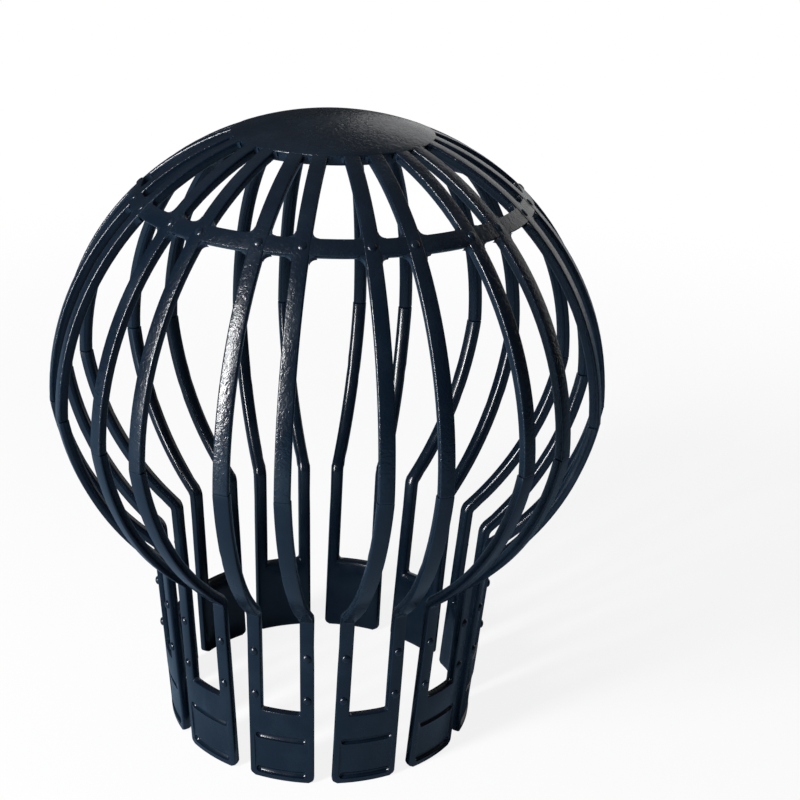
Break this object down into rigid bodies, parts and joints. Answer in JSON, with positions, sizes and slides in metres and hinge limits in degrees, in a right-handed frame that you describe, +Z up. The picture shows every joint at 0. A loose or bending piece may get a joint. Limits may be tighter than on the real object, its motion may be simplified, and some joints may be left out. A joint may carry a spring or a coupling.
{
  "type": "downpipe leaf filter",
  "caption": "Ball-shaped plastic cage of curved ribs under a closed cap, on a ring of slotted legs that push into a roof outlet and keep leaves out of the downpipe.",
  "frame": {"origin": "centre of the foot circle, on the surface that the feet stand on", "axes": "+Z up along the axis of the ball, with a gap between two legs facing each of X and Y"},
  "size_m": [0.1242, 0.1242, 0.145],
  "materials": {
    "black_plastic": "satin black moulded polypropylene"
  },
  "bodies": {
    "root": {"leaf_filter": "black_plastic"}
  },
  "joints": []
}
